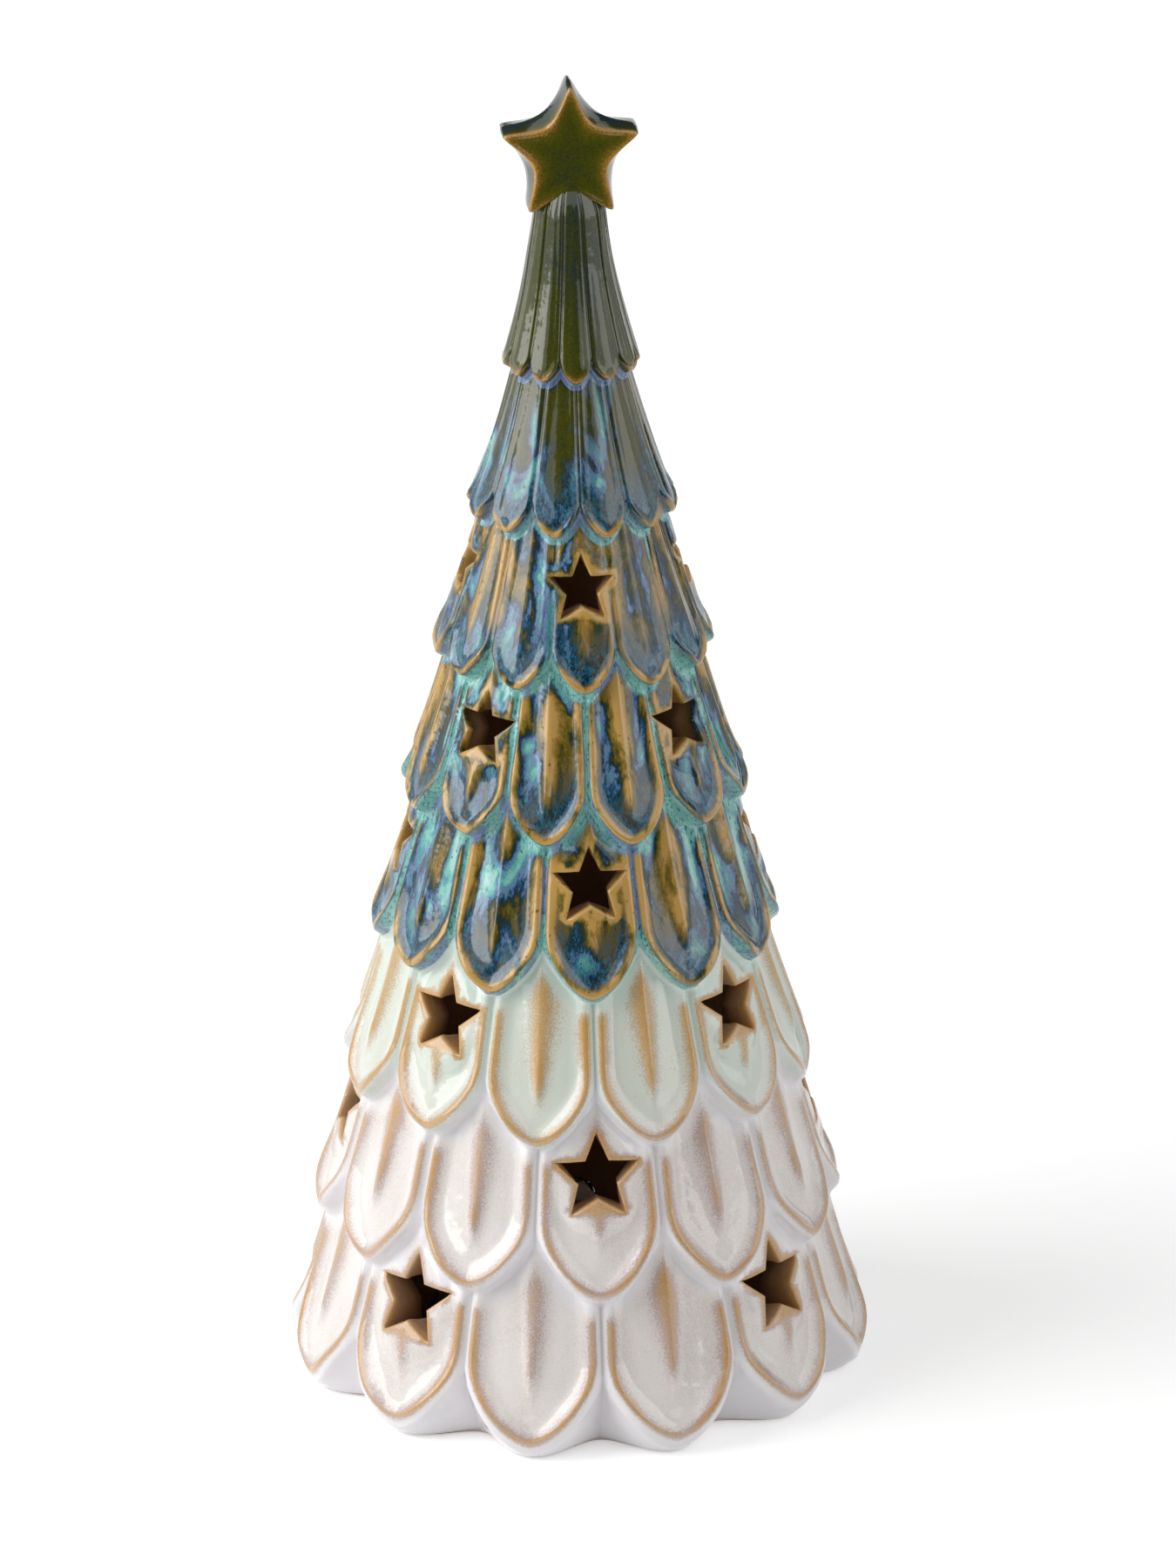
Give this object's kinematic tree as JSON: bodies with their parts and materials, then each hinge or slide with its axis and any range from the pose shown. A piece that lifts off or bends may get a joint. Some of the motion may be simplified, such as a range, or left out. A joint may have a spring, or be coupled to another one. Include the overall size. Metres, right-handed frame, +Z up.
{
  "type": "ceramic christmas tree lantern",
  "caption": "Hollow glazed ceramic Christmas tree with scalloped petal rows, star-shaped windows and a star on top, lit from inside by a removable battery lamp plug in its foot.",
  "frame": {"origin": "on the floor, on the tree's axis", "axes": "+Z up along the tree's axis, -Y out of the front, +X to the right seen from the front"},
  "size_m": [0.1274, 0.1274, 0.3],
  "materials": {
    "glaze": "gloss",
    "white_plastic": "satin",
    "seal_rubber": "matte",
    "screw_steel": "satin",
    "board": "satin",
    "chip": "satin",
    "switch_metal": "satin",
    "knob": "satin",
    "cell": "satin",
    "contact_metal": "polished",
    "lens": "gloss",
    "emitter": "gloss",
    "red_insulation": "satin",
    "black_insulation": "satin"
  },
  "bodies": {
    "lamp_plug": {"plug_housing": "white_plastic", "plug_cover": "white_plastic", "plug_seal": "seal_rubber", "cover_screws": "screw_steel", "board_screws": "screw_steel", "circuit_board": "board", "timer_chip": "chip", "resistor": "chip", "switch_case": "switch_metal", "battery_1": "cell", "battery_2": "cell", "negative_contact": "contact_metal", "positive_contact": "contact_metal", "bridge_contact": "contact_metal", "lamp_lens": "lens", "lamp_emitter": "emitter", "lamp_leads": "contact_metal", "lamp_wire_red": "red_insulation", "battery_wire_red": "red_insulation", "lamp_wire_black": "black_insulation", "battery_wire_black": "black_insulation"},
    "tree": {"tree_shell": "glaze"},
    "battery_door": {"battery_door": "white_plastic"},
    "switch_knob": {"switch_knob": "knob"}
  },
  "joints": [
    {"name": "tree_lift", "type": "slide", "parent": "lamp_plug", "child": "tree", "axis": [0, 0, 1], "range_m": [0, 0.08]},
    {"name": "battery_door_hinge", "type": "hinge", "parent": "lamp_plug", "child": "battery_door", "pos_m": [0, -0.01515, 0.0027], "axis": [-1, 0, 0], "range_deg": [0, 95]},
    {"name": "switch_slide", "type": "slide", "parent": "lamp_plug", "child": "switch_knob", "axis": [1, 0, 0], "range_m": [-0.002, 0.002]}
  ]
}
